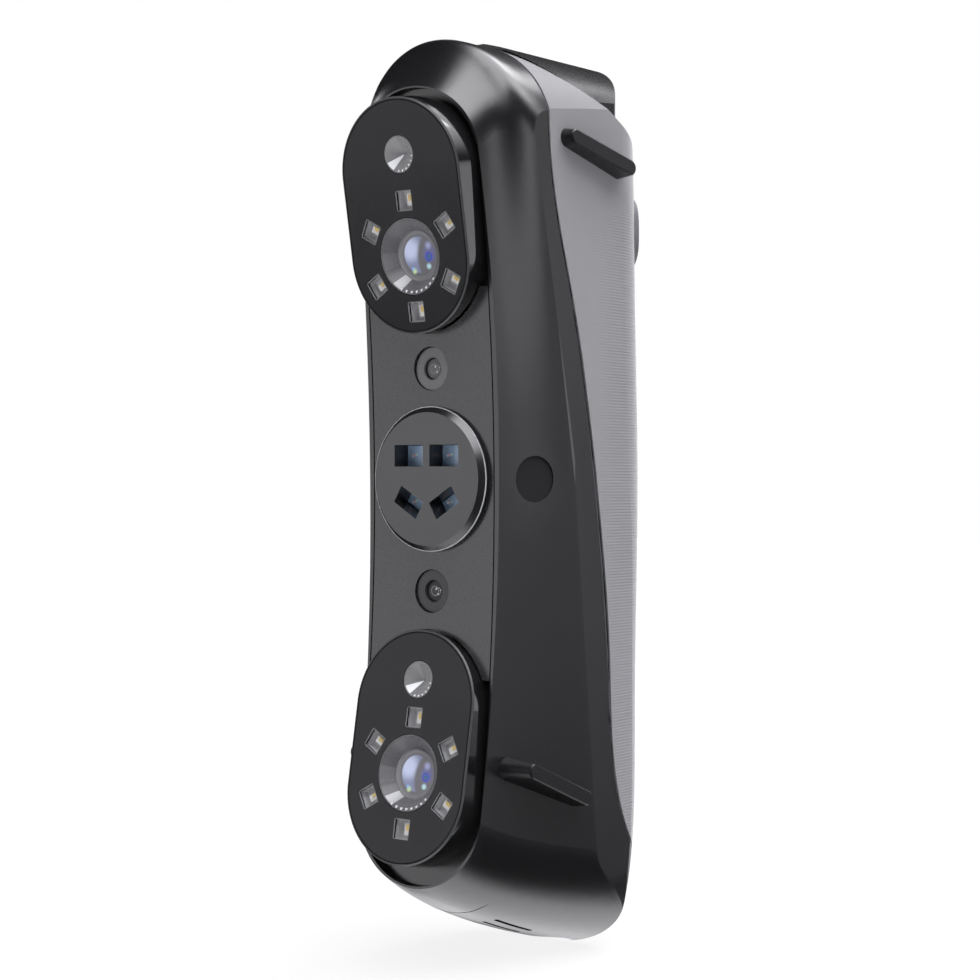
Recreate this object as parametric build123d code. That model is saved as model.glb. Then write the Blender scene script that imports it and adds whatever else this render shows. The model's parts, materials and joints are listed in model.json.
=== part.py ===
from build123d import *
from math import cos, hypot, radians, sin, sqrt, tan
import os

# Hand-held twin-camera laser scanner, standing on end, in millimetres.
# X is the width, -Y faces what is scanned and +Z runs up the body.
# The solids are made with y = 0 on the front plate and z = 0 on the laser head's axis,
# and are moved at the end so that the origin is the middle of the whole scanner's box.

# ---- body form -----------------------------------------------------------------------
body_top = 103.0             # from the laser head's axis up to the crown
body_bottom = 114.7          # and down to the lowest point of the cable end
body_back = 61.0             # from the front plate to the back of the grip
body_half_width = 25.1
crease_depth = 22.3          # behind this line the flanks draw in
crease_lean = 0.2            # it runs forward as it climbs,
crease_bow_radius = 735.0    # and bows forward towards both ends
grip_back_half_width = 21.8
grip_corner_radius = 17.0    # the grip's rounding, seen along the body
grip_barrel_radius = 1500.0  # the back bows out a little along its length,
grip_swell_z = 12.0          # most of all at this height,
heel_tuck_z = -85.0          # and curves forward below this one
heel_tuck_radius = 46.0
grip_levels = (-120.0, -105.0, -90.0, -60.0, -20.0, 20.0, 60.0, 90.0, 120.0)
rear_taper = 4.75            # degrees
rear_heel_drop = 1.8         # the heel's lowest line is at the back
rear_round_radius = 16.0     # round the heel, seen from the side
rear_round_rise = 2.0        # lifts that rounding clear of the crown
hood_rise = 0.75             # the core's crown above the shell's
hood_barrel_radius = 178.0   # and its arch from front to back
hood_barrel_depth = 38.0
hood_round_radius = 24.0     # and its rounding, seen along the body
hood_round_depth = 31.3
dish_radius = 520.0          # the front is dished along its length
dish_centre_z = -4.0
front_reach = 30.0           # how far construction blocks run out past the front

# Cross sections of the front body, front to back: depth at the laser head's height, lean
# per millimetre of height, and how far each is inside the full width, crown and heel.
section_depths = (-9.0, 4.5, 21.0, 34.0)
section_leans = (0.0, 0.06, 0.18, 0.18)
section_narrowings = (7.4, 4.4, 0.0, -0.6)
section_top_drops = (14.0, 3.8, 1.4, 1.2)
section_heel_lifts = (22.2, 11.6, 1.8, -1.6)

# ---- shells --------------------------------------------------------------------------
shell_wall = 2.0
sleeve_wall = 1.2
sleeve_clearance = 0.1
core_inset = sleeve_wall + sleeve_clearance
core_wall = 1.9
core_lip = 2.5               # the core's lip, tucked inside the shell past the seam
core_lip_gap = 0.15
seam_gap = 0.3
seam_rebate = 0.2            # a shallow step along the shell's rear edge
seam_rebate_width = 0.55
bulkhead_wall = 1.8          # the shell's floor behind the front plate
plate_wall = 2.4
plate_gap = 0.35
plate_top = 43.5
plate_bottom = 45.5
recess_half_width = 18.2     # the opening in the shell that plate and pods sit in
recess_top_margin = 2.35     # past the pods' ends
recess_bottom_margin = 4.8

seam_top_depth = 12.0        # black shell to grey sleeve, at the crown
seam_bend_z = 84.0
seam_course = ((21.9, 39.0), (30.7, 0.0), (36.8, -42.0), (41.9, -78.0))   # depth and height
seam_heel_z = -94.0
sleeve_top_z = 99.8          # the sleeve's upper edge at the seam
sleeve_top_slope = 25.0      # degrees, falling towards the back

# ---- camera pods -----------------------------------------------------------------------
pod_half_width = 17.5
pod_side_shift = -0.5        # the housings sit a little to one side of their lenses
pod_length = 54.0
pod_toe_in = 10.0            # degrees, both faces turn towards the middle
pod_reach = 14.0             # longer than any pod wall, before the foot is cut
pod_wall = 1.8
pod_lip = 0.45
pod_bevel = 0.3
window_plate_wall = 1.0
upper_pod_depth = -9.74
upper_pod_z = 59.85
lower_pod_depth = -8.0
lower_pod_z = -61.2
upper_lens_rise = 17.8       # the lens above the pod's lower end, and the flash above it
upper_flash_rise = 23.2
lower_lens_rise = 21.1
lower_flash_rise = 21.4
fit_gap = 0.15

lens_radius = 8.75
lens_lip = 0.35
lens_glass_radius = 6.1
lens_glass_depth = 3.0
lens_glass_wall = 1.8
lens_dome_radius = 14.0
lens_shoulder = 5.6
lens_tube_radius = 7.2
lens_tube_bore = 5.2
lens_length = 15.0
flash_radius = 4.2
flash_lip = 0.3
flash_throat_radius = 0.9
flash_depth = 2.4
flash_length = 4.6
led_circle_radius = 12.7
led_count = 6
led_size = 4.7
led_cell_edge = 0.25
led_pane_wall = 0.5
led_board_depth = 3.0        # the board's front, behind the pod's face
board_wall = 1.2
led_chip_width = 1.5
led_chip_length = 2.6
led_chip_height = 1.2
led_chip_offset = 1.0

# ---- laser head and front sensors ----------------------------------------------------------
head_radius = 16.7
head_proud = 2.5
head_bevel = 1.3
head_spigot_radius = 14.0
head_depth = 6.4             # the spigot's inner end, behind the front plate
beam_window_width = 8.6
beam_window_height = 5.0
beam_window_x = 5.3
beam_window_z = 5.4
slant_window_width = 7.7
slant_window_height = 4.4
slant_window_angle = 31.0
beam_pane_recess = 4.7
beam_pane_wall = 0.9
pane_gap = 0.1
laser_radius = 2.1
laser_end_gap = 0.15
running_gap = 0.05
sensor_radius = 4.9
sensor_flange = 1.0
sensor_recess = 0.7
sensor_flange_wall = 1.0
sensor_length = 7.0
sensor_bore = 2.6
sensor_lens_wall = 1.4
sensor_lens_set = 0.6
sensor_dome_radius = 5.0
upper_sensor_z = 25.5
lower_sensor_z = -25.9

# ---- inside ------------------------------------------------------------------------------
bench_wall = 2.5
bench_half_width = 11.5
bench_depth = 20.0           # the bench pads' middles, behind each pod's face
bench_pad_reach = 20.0
bench_mid_depth = 14.3       # and the middle of its straight part
bench_mid_top = 40.0
bench_mid_bottom = 41.0
bench_hole_width = 12.0      # for each camera's ribbon
bench_hole_height = 4.0
boss_radius = 2.6
boss_x = 8.2
boss_heights = (35.5, -36.5)
boss_hole = 6.0
ribbon_half_width = 4.0
ribbon_wall = 0.3
sensor_board_size = 19.0
sensor_mount_wall = 2.5
block_half_width = 11.0
block_half_height = 11.5
block_depth = 9.0            # the laser block's front face
main_board_depth = 26.0
main_board_half_width = 16.5
main_board_top = 62.0
main_board_bottom = 76.0
board_standoff_radius = 2.2
board_standoff_x = 8.0
board_standoff_heights = (28.0, -30.0)
board_corner = 1.5
processor_size = 14.0
processor_height = 1.6
processor_z = -12.0
chip_height = 1.0
memory_x = 6.5
memory_width = 8.0
memory_height = 12.0
memory_z = 12.0
coil_size = 6.0
coil_height = 3.0
coil_z = -48.0
sink_size = 26.0
sink_base = 2.0
sink_fin_count = 6
sink_fin_wall = 1.2
sink_fin_height = 6.0
screw_radius = 1.0
screw_head_radius = 1.9
screw_head_height = 1.2
screw_length = 5.0
screw_socket_radius = 0.9
screw_gap = 0.1

# ---- keys ------------------------------------------------------------------------------------
key_panel_z = 61.0
key_panel_height = 19.5
key_panel_width = 41.0
key_panel_proud = 1.15
key_pocket_height = 15.5
key_pocket_width = 36.0
key_radius = 5.6             # scan key
side_key_radius = 3.9
side_key_x = 12.4
key_gap = 0.1
key_proud = 0.5
key_collar_wall = 0.9
key_collar_length = 7.6      # the panel's guide collars, in from the back
key_flange = 0.8
key_flange_wall = 1.0
key_travel = 0.6
dome_height = 0.9
dome_gap = 0.15              # left between a pressed key and its dome's contact
dome_radius = 3.0
key_board_half_width = 16.5
key_board_height = 24.0
key_post_radius = 2.0
key_post_x = 13.0
key_post_z = 10.0

# ---- cable port and vents ----------------------------------------------------------------------
port_depth = 42.8
port_radius = 7.5
port_recess = 9.0            # from the heel's lowest line to the socket's floor
port_cut_height = 16.0
port_wall = 1.0
port_floor_wall = 1.6
port_gap = 0.1
port_tongue_width = 6.6
port_tongue_wall = 1.2
port_tongue_length = 3.0
port_tongue_edge = 0.4
vent_count = 5
vent_pitch = 3.6
vent_length = 14.0
vent_width = 1.1
vent_depth = 21.0

# ---- side pieces -----------------------------------------------------------------------------------
plug_radius = 5.25
plug_depth = 9.6
plug_flank_x = 22.25         # the flank's middle at the plug
plug_turn = 16.5             # degrees forward of straight out
plug_recess = 0.35
plug_wall = 1.5
rib_plane = 27.3             # the ribs' flat tops, on which the scanner can lie
rib_width = 3.4              # across the flat top
rib_draft = 8.0
rib_root = 9.0
rib_edge = 0.3
lower_rib_ends = ((1.6, -64.9), (25.0, -74.5))
upper_rib_ends = ((17.3, 79.1), (43.0, 73.7))


# ---- form helpers ------------------------------------------------------------------------------------
def upright_slot(length, width):
    """An obround that stands on end."""
    return SlotOverall(length, width, rotation=90)


def prism(sketch, y_front, y_back, z=0.0):
    """A sketch drawn in X and Z, run from y_front back to y_back."""
    plane = Plane(origin=(0, y_back, z), x_dir=(1, 0, 0), z_dir=(0, -1, 0))
    return extrude(plane * sketch, y_back - y_front)


def rod(radius, y_front, y_back, x=0.0, z=0.0):
    """A round bar along Y."""
    return prism(Pos(x, 0) * Circle(radius), y_front, y_back, z)


def slab(half_width, y_front, y_back, z_low, z_high):
    """A plain block, centred on X."""
    size = (2 * half_width, y_back - y_front, z_high - z_low)
    middle = (0, (y_front + y_back) / 2, (z_low + z_high) / 2)
    return Pos(*middle) * Box(*size)


def dish(depth):
    """Everything in front of the dished surface that lies depth behind the plate."""
    cylinder = Cylinder(dish_radius + depth, 4 * body_half_width, rotation=(0, 90, 0))
    return Pos(0, -dish_radius, dish_centre_z) * cylinder


def dish_y(z, depth=0.0):
    """Where that surface lies at a height z."""
    return sqrt((dish_radius + depth) ** 2 - (z - dish_centre_z) ** 2) - dish_radius


def side_block(outline):
    """An outline drawn in depth and height, run across the whole width."""
    plane = Plane(origin=(-2 * body_half_width, 0, 0), x_dir=(0, 1, 0), z_dir=(1, 0, 0))
    return extrude(plane * outline, 4 * body_half_width)


# ---- body form ------------------------------------------------------------------------------------------
def front_form(inset, rise=0.0):
    """The body's front, lofted through leaning obrounds and run on to the back."""
    faces = []
    rows = zip(section_depths, section_leans, section_narrowings,
               section_top_drops, section_heel_lifts)
    for depth, lean, narrowing, top_drop, heel_lift in rows:
        stretch = hypot(1, lean)
        half_width = body_half_width - narrowing - inset
        top = (body_top + rise - top_drop - inset) * stretch
        bottom = (body_bottom - heel_lift - inset) * stretch
        plane = Plane(origin=(0, depth, 0), x_dir=(1, 0, 0), z_dir=(0, -1, -lean))
        slot = Pos(0, (top - bottom) / 2) * upright_slot(top + bottom, 2 * half_width)
        faces.append((plane * slot).face())
    return loft(faces) + extrude(faces[-1], body_back, dir=(0, 1, 0))


def grip_back(level):
    """Where the middle of the back lies at a height."""
    bow = (level - grip_swell_z) ** 2 / (2 * grip_barrel_radius)
    tuck = max(0, heel_tuck_z - level) ** 2 / (2 * heel_tuck_radius)
    return body_back - bow - tuck


def grip_form(inset):
    """The grip's rounded sections, one above the other; the crease climbs forwards."""
    faces = []
    for level in grip_levels:
        back = grip_back(level) - inset
        crease = crease_depth - crease_lean * level - level ** 2 / (2 * crease_bow_radius)
        crease = min(crease, back - grip_corner_radius)
        wide = body_half_width - inset
        narrow = grip_back_half_width - inset
        outline = Polyline((-wide, -front_reach), (wide, -front_reach), (wide, crease),
                           (narrow, back), (-narrow, back), (-wide, crease), close=True)
        section = make_face(outline)
        corners = section.vertices().group_by(Axis.Y)[-1]
        faces.append((Pos(0, 0, level) * fillet(corners, grip_corner_radius - inset)).face())
    return loft(faces)


def rear_form(inset, rise=0.0):
    """The outline seen from the front, drawn in and rounded off towards the back."""
    half_width = grip_back_half_width - inset
    top = body_top + rise + rear_round_rise - inset
    bottom = body_bottom + rear_heel_drop - inset
    outline = Pos(0, (top - bottom) / 2) * upright_slot(top + bottom, 2 * half_width)
    plane = Plane(origin=(0, body_back - inset, 0), x_dir=(1, 0, 0), z_dir=(0, -1, 0))
    block = extrude(plane * outline, body_back + front_reach, taper=-rear_taper)
    rim = block.faces().sort_by(Axis.Y)[-1].edges()
    return fillet(rim, rear_round_radius - inset)


def body_form(inset, front_depth=None, rise=0.0):
    """The whole body, inset from its outer faces; front_depth sets the dished face."""
    solid = front_form(inset, rise) & grip_form(inset) & rear_form(inset, rise)
    return solid - dish(inset if front_depth is None else front_depth)


def hood_form():
    """The core's higher, arched crown, which stands over the sleeve's upper edge."""
    solid = body_form(core_inset, 0, hood_rise + core_inset)
    top = body_top + hood_rise
    barrel = Cylinder(hood_barrel_radius, 4 * body_half_width, rotation=(0, 90, 0))
    solid &= Pos(0, hood_barrel_depth, top - hood_barrel_radius) * barrel
    solid &= Pos(0, hood_round_depth, 0) * Cylinder(hood_round_radius, 4 * top)
    return solid - below_sleeve_edge()


def grip_zone(gap=0.0):
    """Everything behind the seam between the black shell and the grey sleeve."""
    top = (seam_top_depth + gap, 2 * body_top)
    bend = (seam_top_depth + gap, seam_bend_z)
    course = [(depth + gap, z) for depth, z in seam_course]
    turn = (body_back, seam_heel_z + gap)
    heel = (body_back + front_reach, seam_heel_z + gap)
    corner = (body_back + front_reach, 2 * body_top)
    edge = Line(top, bend)
    edge += Spline(bend, *course, turn, tangents=((0, -1), (1, 0)))
    edge += Polyline(turn, heel, corner, top)
    return side_block(make_face(edge))


def below_sleeve_edge():
    """Everything below the sleeve's slanted upper edge."""
    fall = tan(radians(sleeve_top_slope))
    run = 2 * body_back
    front_z = sleeve_top_z + (seam_top_depth + front_reach) * fall
    back_z = sleeve_top_z - (run - seam_top_depth) * fall
    outline = Polyline((-front_reach, front_z), (run, back_z), (run, -2 * body_bottom),
                       (-front_reach, -2 * body_bottom), close=True)
    return side_block(make_face(outline))


# ---- pods ---------------------------------------------------------------------------------------------------
class Pod:
    """Where one camera pod's face lies, which way it turns, and its lens and flash."""

    def __init__(self, name, depth, z, turn, lens_rise, flash_rise):
        lean = radians(pod_toe_in) * turn
        self.name = name
        self.turn = turn
        self.lens = lens_rise - pod_length / 2
        self.flash = self.lens + flash_rise
        self.depth = depth
        self.z = z
        normal = (0, -cos(lean), -sin(lean))
        self.plane = Plane(origin=(0, depth, z), x_dir=(1, 0, 0), z_dir=normal)

    def place(self, solid):
        """Move a solid from the face's frame, z outwards, to the scanner's."""
        return self.plane.location * solid

    def bar(self, sketch, outer, inner):
        """A sketch on the face, run from one depth below it to another."""
        return self.place(Pos(0, 0, -inner) * extrude(sketch, inner - outer))

    def outline(self, inset=0.0):
        slot = upright_slot(pod_length - 2 * inset, 2 * (pod_half_width - inset))
        return Pos(pod_side_shift, 0) * slot

    def bored(self, sketch):
        """Open a sketch on the face for the lens and the flash."""
        sketch -= Pos(0, self.lens) * Circle(lens_radius + fit_gap)
        return sketch - Pos(0, self.flash) * Circle(flash_radius + fit_gap)

    def led_places(self):
        """Where each light sits round the lens, turned outwards."""
        for index in range(led_count):
            turned = Rot(0, 0, 360 / led_count * index)
            yield Pos(0, self.lens) * turned * Pos(0, led_circle_radius)

    def below(self, depth, along=0.0):
        """Depth and height of a point under the face, along mm up the pod."""
        lean = radians(pod_toe_in) * self.turn
        y = self.depth + depth * cos(lean) - along * sin(lean)
        z = self.z + depth * sin(lean) + along * cos(lean)
        return y, z


PODS = (Pod("upper", upper_pod_depth, upper_pod_z, 1, upper_lens_rise, upper_flash_rise),
        Pod("lower", lower_pod_depth, lower_pod_z, -1, lower_lens_rise, lower_flash_rise))


def pod_housing(pod):
    """An obround ring, bevelled and recessed at its face, its foot cut to the dish."""
    ring = pod.bar(pod.outline(), 0, pod_reach)
    rim = ring.faces().sort_by(lambda face: pod.plane.to_local_coords(face.center()).Z)[-1]
    ring = chamfer(rim.edges(), pod_bevel)
    ring -= pod.bar(pod.outline(pod_lip), 0, window_plate_wall)
    ring -= pod.bar(pod.outline(pod_wall), 0, pod_reach)
    return ring & dish(plate_wall)


def window_plate(pod):
    """The flat face, open for the lens, the flash and six square lights."""
    face = pod.bored(pod.outline(pod_lip + fit_gap / 2))
    for place in pod.led_places():
        face -= place * Rectangle(led_size, led_size)
    return pod.bar(face, 0, window_plate_wall)


def led_panes(pod):
    panes = []
    for place in pod.led_places():
        pane = place * Rectangle(led_size, led_size)
        panes.append(pod.bar(pane, window_plate_wall - led_pane_wall, window_plate_wall))
    return panes


def led_tray(pod):
    """The tray between face and board, with one open cell for each light."""
    tray = pod.bored(pod.outline(pod_wall + fit_gap))
    cell = led_size - 2 * led_cell_edge
    for place in pod.led_places():
        tray -= place * Rectangle(cell, cell)
    return pod.bar(tray, window_plate_wall, led_board_depth)


def led_board(pod):
    board = pod.bored(pod.outline(pod_wall + fit_gap))
    return pod.bar(board, led_board_depth, led_board_depth + board_wall)


def led_chips(pod):
    """A light-emitting chip in each cell, on the board."""
    chips = []
    for place in pod.led_places():
        chip = place * Pos(led_chip_offset, 0) * Rectangle(led_chip_width, led_chip_length)
        chips.append(pod.bar(chip, led_board_depth - led_chip_height, led_board_depth))
    return chips


def turned(points):
    """A solid of revolution from a closed outline of radius and height."""
    return revolve(Plane.XZ * make_face(Polyline(*points, close=True)), Axis.Z)


def lens_barrel(pod):
    """A wide mouth that cones down to the lens seat, and the tube behind it."""
    seat = -lens_glass_depth - lens_glass_wall
    barrel = turned((
        (lens_radius - lens_lip, 0), (lens_radius, 0), (lens_radius, -lens_shoulder),
        (lens_tube_radius, -lens_shoulder), (lens_tube_radius, -lens_length),
        (lens_tube_bore, -lens_length), (lens_tube_bore, seat),
        (lens_glass_radius, seat), (lens_glass_radius, -lens_glass_depth)))
    return pod.place(Pos(0, pod.lens) * barrel)


def lens_glass(pod):
    """The front lens: a domed disc on the barrel's seat."""
    seat = -lens_glass_depth - lens_glass_wall
    disc = Pos(0, 0, seat + lens_glass_wall / 2) * Cylinder(
        lens_glass_radius - fit_gap / 2, lens_glass_wall)
    ball = Pos(0, 0, -lens_glass_depth - lens_dome_radius) * Sphere(lens_dome_radius)
    return pod.place(Pos(0, pod.lens) * (disc & ball))


def flash_cup(pod):
    """A small conical reflector."""
    cup = turned((
        (flash_radius - flash_lip, 0), (flash_radius, 0), (flash_radius, -flash_length),
        (0, -flash_length), (0, -flash_depth), (flash_throat_radius, -flash_depth)))
    return pod.place(Pos(0, pod.flash) * cup)


def sensor_board(pod):
    board = Pos(0, pod.lens) * Rectangle(sensor_board_size, sensor_board_size)
    return pod.bar(board, lens_length, lens_length + board_wall)


def sensor_mount(pod):
    """The open frame that carries a camera board on the bench."""
    inside = sensor_board_size - 2 * sensor_mount_wall
    frame = Rectangle(sensor_board_size, sensor_board_size) - Rectangle(inside, inside)
    start = lens_length + board_wall
    end = bench_depth - bench_wall / 2 * cos(radians(pod_toe_in))
    return pod.bar(Pos(0, pod.lens) * frame, start, end)


# ---- shells ---------------------------------------------------------------------------------------------------
def recess_outline(gap=0.0):
    """The obround opening in the front, drawn in X and Z."""
    top = upper_pod_z + pod_length / 2 + recess_top_margin
    bottom = lower_pod_z - pod_length / 2 - recess_bottom_margin
    slot = upright_slot(top - bottom - 2 * gap, 2 * (recess_half_width - gap))
    return Pos(0, (top + bottom) / 2) * slot


def front_shell(outer, cavity, rebate):
    """The black shell: walls, crown and heel, and a floor behind plate and pods."""
    shell = outer - cavity - grip_zone()
    shell -= (outer - rebate) & grip_zone(-seam_rebate_width)
    shell -= prism(recess_outline(), -front_reach, front_reach) & dish(plate_wall)
    for pod in PODS:
        bore = Pos(0, pod.lens) * Circle(lens_tube_radius + fit_gap)
        shell -= pod.bar(bore, 0, lens_length)
    shell -= rod(head_spigot_radius + fit_gap, -front_reach, head_depth)
    for z in (upper_sensor_z, lower_sensor_z):
        shell -= rod(sensor_radius - sensor_flange + fit_gap, -front_reach, head_depth, 0, z)
    for side in (-1, 1):
        shell -= plug_bar(side, plug_radius + running_gap, -shell_wall, 2 * shell_wall)
    shell -= port_hole()
    for slot in vent_slots():
        shell -= slot
    for post in bosses():
        shell += post
    return shell


def vent_slots():
    """Narrow slots that run front to back through the heel."""
    for index in range(vent_count):
        x = (index - (vent_count - 1) / 2) * vent_pitch
        slot = upright_slot(vent_length, vent_width)
        plane = Plane(origin=(x, vent_depth, -body_bottom))
        yield extrude(plane * slot, port_cut_height)


def port_hole():
    return Pos(0, port_depth, -body_bottom) * Cylinder(port_radius, 2 * port_cut_height)


def front_plate():
    """The dished plate between the pods, cut out round each of them."""
    plate = prism(recess_outline(plate_gap), -front_reach, front_reach)
    plate = (plate & dish(plate_wall)) - dish(0)
    plate &= slab(body_half_width, -front_reach, front_reach, -plate_bottom, plate_top)
    for pod in PODS:
        plate -= pod.bar(pod.outline(-plate_gap), 0, pod_reach)
    plate -= rod(head_spigot_radius + fit_gap, -front_reach, head_depth)
    for z in (upper_sensor_z, lower_sensor_z):
        step = dish_y(z) + sensor_recess + sensor_flange_wall
        plate -= rod(sensor_radius + fit_gap, -front_reach, step, 0, z)
        plate -= rod(sensor_radius - sensor_flange + fit_gap, -front_reach, head_depth, 0, z)
    return plate


def rear_core(outer, lip, cavity):
    """The black inner half under the sleeve; its crown shows above the sleeve."""
    core = (outer - cavity) & grip_zone(seam_gap)
    core += (lip - cavity) & grip_zone(-core_lip) - grip_zone(seam_gap)
    for x, z in key_board_posts():
        core += rod(key_post_radius, key_board_rear(), body_back, x, z) & outer
        core -= rod(screw_radius, key_board_rear() - screw_gap, key_board_rear() + screw_length,
                    x, z)
    return core - prism(key_pocket(), key_board_rear(), 2 * body_back, key_panel_z)


def rear_sleeve(outer, inner):
    """The thin grey sleeve over the grip, open at the top and round the keys."""
    sleeve = (outer - inner) & grip_zone(seam_gap) & below_sleeve_edge()
    return sleeve - prism(key_pocket(), key_board_rear(), 2 * body_back, key_panel_z)


# ---- laser head ----------------------------------------------------------------------------------------
def beam_windows(gap=0.0):
    """The two level and two slanted windows, drawn in X and Z."""
    for side in (-1, 1):
        level = Rectangle(beam_window_width - 2 * gap, beam_window_height - 2 * gap)
        yield Pos(side * beam_window_x, beam_window_z) * level
        slanted = Rectangle(slant_window_width - 2 * gap, slant_window_height - 2 * gap)
        leaning = Rot(0, 0, side * slant_window_angle)
        yield Pos(side * beam_window_x, -beam_window_z) * leaning * slanted


def laser_head():
    """A bevelled disc on the front plate, with its spigot through plate and floor."""
    disc = rod(head_radius, -head_proud, head_depth)
    disc = chamfer(disc.faces().sort_by(Axis.Y)[0].edges(), head_bevel)
    head = (disc & dish(0)) + rod(head_spigot_radius, -head_proud / 2, head_depth)
    for window in beam_windows():
        head -= prism(window, -front_reach, front_reach)
    return head


def beam_panes():
    """The filter panes, deep in the windows."""
    start = beam_pane_recess - head_proud
    return [prism(window, start, start + beam_pane_wall) for window in beam_windows(pane_gap)]


def laser_places():
    for side in (-1, 1):
        for z in (beam_window_z, -beam_window_z):
            yield side * beam_window_x, z


def laser_modules():
    """Four round laser barrels, each behind its own pane."""
    start = beam_pane_recess - head_proud + beam_pane_wall + pane_gap
    end = bench_front() - laser_end_gap
    return [rod(laser_radius, start, end, x, z) for x, z in laser_places()]


def laser_block():
    """The aluminium block that holds the lasers against the bench."""
    block = slab(block_half_width, block_depth, bench_front(),
                 -block_half_height, block_half_height)
    for x, z in laser_places():
        block -= rod(laser_radius + running_gap, block_depth, bench_front(), x, z)
    return block


def front_sensor(z):
    """The flanged ring of a small sensor that shows through the front plate."""
    start = dish_y(z) + sensor_recess
    flange = rod(sensor_radius, start, start + sensor_flange_wall, 0, z)
    stem = rod(sensor_radius - sensor_flange, start, start + sensor_length, 0, z)
    bore = rod(sensor_bore, start, start + sensor_length - sensor_flange_wall, 0, z)
    return flange + stem - bore


def sensor_lens(z):
    """The small domed lens in a sensor's ring."""
    start = dish_y(z) + sensor_recess + sensor_lens_set
    disc = rod(sensor_bore - running_gap, start, start + sensor_lens_wall, 0, z)
    ball = Pos(0, start + sensor_dome_radius, z) * Sphere(sensor_dome_radius)
    return disc & ball


# ---- inside ---------------------------------------------------------------------------------------------
def bench_front():
    return bench_mid_depth - bench_wall / 2


def bench_rear():
    return bench_mid_depth + bench_wall / 2


def boss_places():
    for x in (-boss_x, boss_x):
        for z in boss_heights:
            yield x, z


def optical_bench():
    """The stiff bent plate that keeps both cameras and the lasers in line."""
    upper, lower = PODS
    line = (upper.below(bench_depth, bench_pad_reach),
            upper.below(bench_depth, -bench_pad_reach),
            (bench_mid_depth, bench_mid_top), (bench_mid_depth, -bench_mid_bottom),
            lower.below(bench_depth, bench_pad_reach),
            lower.below(bench_depth, -bench_pad_reach))
    front = [(y - bench_wall / 2, z) for y, z in line]
    rear = [(y + bench_wall / 2, z) for y, z in line]
    outline = make_face(Polyline(*front, *reversed(rear), close=True))
    bench = side_block(outline) & slab(bench_half_width, -front_reach, body_back,
                                       -body_bottom, body_top)
    for pod in PODS:
        z = ribbon_z(pod)
        hole = Rectangle(bench_hole_width, bench_hole_height)
        bench -= prism(hole, 0, main_board_depth, z)
    for x, z in boss_places():
        bench -= rod(screw_radius + screw_gap, 0, main_board_depth, x, z)
    return bench


def ribbon_z(pod):
    return pod.below(lens_length + board_wall, pod.lens)[1]


def camera_ribbons():
    """A flat ribbon from each camera board back to the main board."""
    ribbons = []
    for pod in PODS:
        z = ribbon_z(pod)
        start = pod.below(lens_length + board_wall, pod.lens)[0]
        ribbon = slab(ribbon_half_width, start - 1, main_board_depth,
                      z - ribbon_wall / 2, z + ribbon_wall / 2)
        square = Pos(0, pod.lens) * Rectangle(sensor_board_size, sensor_board_size)
        ribbons.append(ribbon - pod.bar(square, lens_length, lens_length + board_wall))
    return ribbons


def bosses():
    """Posts on the shell's floor that carry the bench."""
    posts = []
    for x, z in boss_places():
        start = dish_y(z, plate_wall + bulkhead_wall / 2)
        post = rod(boss_radius, start, bench_front(), x, z)
        hole = rod(screw_radius, bench_front() - boss_hole, bench_front(), x, z)
        posts.append(post - hole)
    return posts


def screw(seat, x, z, way=1):
    """A socket-head screw: its head stands way of the seat, its shank the other way."""
    top = seat + way * screw_head_height
    tip = seat - way * screw_length
    head = rod(screw_head_radius, min(seat, top), max(seat, top), x, z)
    shank = rod(screw_radius - screw_gap, min(seat, tip), max(seat, tip), x, z)
    floor = top - way * screw_head_height / 2
    socket = prism(Pos(x, 0) * RegularPolygon(screw_socket_radius, 6),
                   min(floor, top), max(floor, top), z)
    return head + shank - socket


def bench_screws():
    return [screw(bench_rear(), x, z) for x, z in boss_places()]


def standoff_places():
    for x in (-board_standoff_x, board_standoff_x):
        for z in board_standoff_heights:
            yield x, z


def board_standoffs():
    posts = []
    for x, z in standoff_places():
        post = rod(board_standoff_radius, bench_rear(), main_board_depth, x, z)
        posts.append(post - rod(screw_radius, bench_rear(), main_board_depth, x, z))
    return posts


def main_board():
    board = slab(main_board_half_width, main_board_depth, main_board_depth + board_wall,
                 -main_board_bottom, main_board_top)
    board = fillet(board.edges().filter_by(Axis.Y), board_corner)
    for x, z in standoff_places():
        board -= rod(screw_radius + screw_gap, 0, body_back, x, z)
    return board


def board_screws():
    return [screw(main_board_depth + board_wall, x, z) for x, z in standoff_places()]


def board_chips():
    """The processor, two memory chips and two coils."""
    rear = main_board_depth + board_wall
    half = processor_size / 2
    chips = [slab(half, rear, rear + processor_height, processor_z - half,
                  processor_z + half)]
    for x in (-memory_x, memory_x):
        memory = slab(memory_width / 2, rear, rear + chip_height,
                      memory_z - memory_height / 2, memory_z + memory_height / 2)
        chips.append(Pos(x, 0, 0) * memory)
        coil = slab(coil_size / 2, rear, rear + coil_height,
                    coil_z - coil_size / 2, coil_z + coil_size / 2)
        chips.append(Pos(x, 0, 0) * coil)
    return chips


def processor_sink():
    """A finned heat sink on the processor."""
    start = main_board_depth + board_wall + processor_height
    half = sink_size / 2
    sink = slab(half, start, start + sink_base, processor_z - half, processor_z + half)
    pitch = (sink_size - sink_fin_wall) / (sink_fin_count - 1)
    for index in range(sink_fin_count):
        fin = slab(sink_fin_wall / 2, start, start + sink_base + sink_fin_height,
                   processor_z - half, processor_z + half)
        sink += Pos(-half + sink_fin_wall / 2 + index * pitch, 0, 0) * fin
    return sink


# ---- keys -----------------------------------------------------------------------------------------------
KEYS = (("scan_key", 0.0, key_radius),
        ("minus_key", -side_key_x, side_key_radius),
        ("plus_key", side_key_x, side_key_radius))


def key_pocket():
    return SlotOverall(key_pocket_width, key_pocket_height)


def key_collar_end():
    return body_back - key_collar_length


def key_inner_face():
    """Where each key's flange ends, inside."""
    return key_collar_end() - fit_gap - key_flange_wall


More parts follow.
